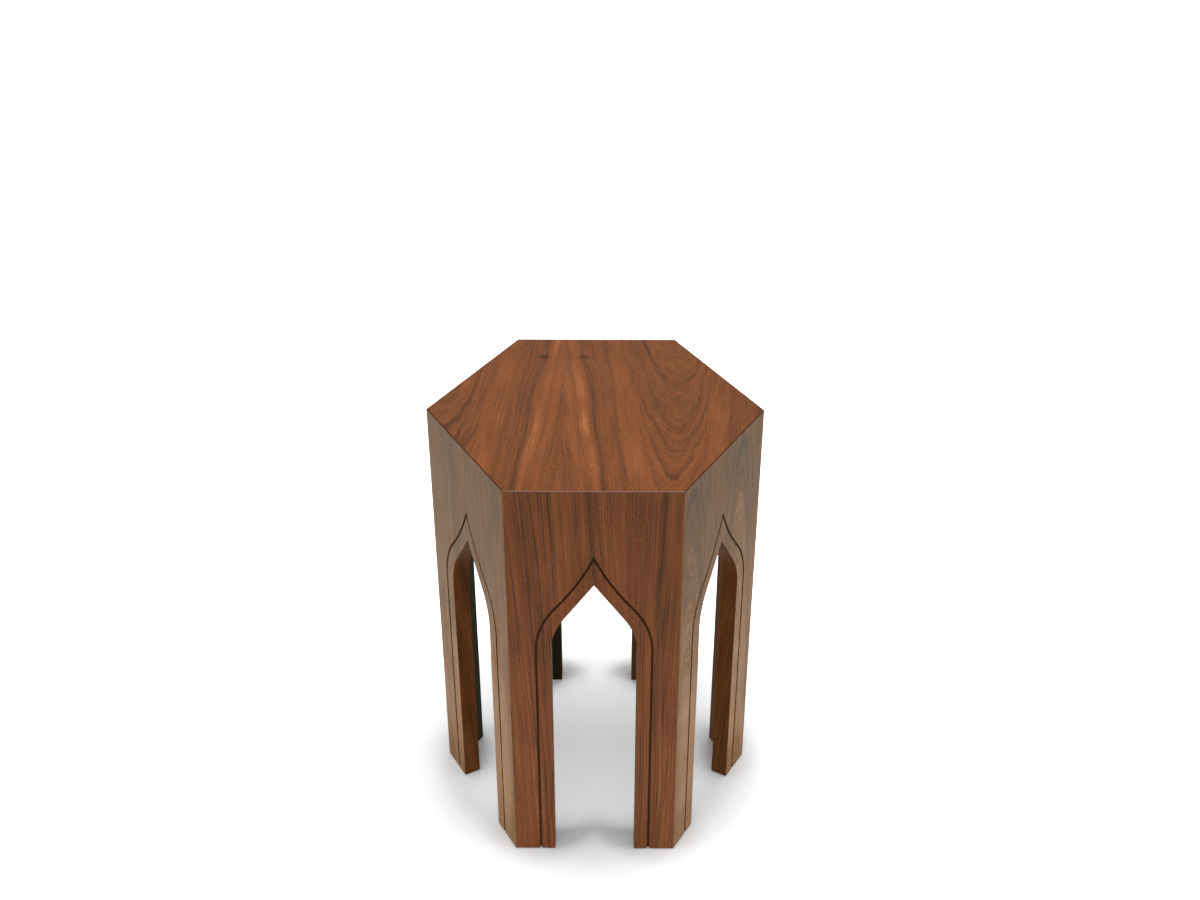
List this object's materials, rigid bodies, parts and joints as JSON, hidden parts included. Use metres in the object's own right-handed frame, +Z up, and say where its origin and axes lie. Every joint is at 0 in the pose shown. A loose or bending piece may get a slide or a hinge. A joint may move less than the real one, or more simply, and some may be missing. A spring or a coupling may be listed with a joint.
{
  "type": "side table",
  "caption": "Hexagonal walnut tabouret side table: mitred flat sides with pointed arches and a routed ogee groove, book-matched veneer top.",
  "frame": {"origin": "on the floor under the centre of the hexagonal top", "axes": "+Z up; side 1 of the hexagon faces -Y, and two opposite corners lie on the X axis"},
  "size_m": [0.4064, 0.352, 0.5588],
  "materials": {
    "walnut_top": "satin lacquer on book-matched walnut veneer",
    "walnut_face": "satin lacquer on walnut veneer, grain upright",
    "walnut_edge": "satin lacquer on walnut edge banding",
    "walnut_backing": "dull dark stained walnut veneer",
    "fibreboard_core": "matte, stained dark brown where the groove bares it",
    "beech_spline": "planed, bare",
    "pine_block": "sawn, bare",
    "zinc_screw": "zinc plated",
    "nylon_glide": "matte dark brown"
  },
  "bodies": {
    "root": {"arch_edge_band_1": "walnut_edge", "arch_edge_band_2": "walnut_edge", "arch_edge_band_3": "walnut_edge", "arch_edge_band_4": "walnut_edge", "arch_edge_band_5": "walnut_edge", "arch_edge_band_6": "walnut_edge", "corner_spline_1": "beech_spline", "corner_spline_2": "beech_spline", "corner_spline_3": "beech_spline", "corner_spline_4": "beech_spline", "corner_spline_5": "beech_spline", "corner_spline_6": "beech_spline", "foot_glide_1": "nylon_glide", "foot_glide_2": "nylon_glide", "foot_glide_3": "nylon_glide", "foot_glide_4": "nylon_glide", "foot_glide_5": "nylon_glide", "foot_glide_6": "nylon_glide", "glue_block_1": "pine_block", "glue_block_2": "pine_block", "glue_block_3": "pine_block", "glue_block_4": "pine_block", "glue_block_5": "pine_block", "glue_block_6": "pine_block", "glue_block_screws": "zinc_screw", "side_backing_veneer_1": "walnut_backing", "side_backing_veneer_2": "walnut_backing", "side_backing_veneer_3": "walnut_backing", "side_backing_veneer_4": "walnut_backing", "side_backing_veneer_5": "walnut_backing", "side_backing_veneer_6": "walnut_backing", "side_core_1": "fibreboard_core", "side_core_2": "fibreboard_core", "side_core_3": "fibreboard_core", "side_core_4": "fibreboard_core", "side_core_5": "fibreboard_core", "side_core_6": "fibreboard_core", "side_face_veneer_1": "walnut_face", "side_face_veneer_2": "walnut_face", "side_face_veneer_3": "walnut_face", "side_face_veneer_4": "walnut_face", "side_face_veneer_5": "walnut_face", "side_face_veneer_6": "walnut_face", "top_backing_veneer": "walnut_backing", "top_core": "fibreboard_core", "top_spline_1": "beech_spline", "top_spline_2": "beech_spline", "top_spline_3": "beech_spline", "top_spline_4": "beech_spline", "top_spline_5": "beech_spline", "top_spline_6": "beech_spline", "top_veneer_left": "walnut_top", "top_veneer_right": "walnut_top"}
  },
  "joints": []
}
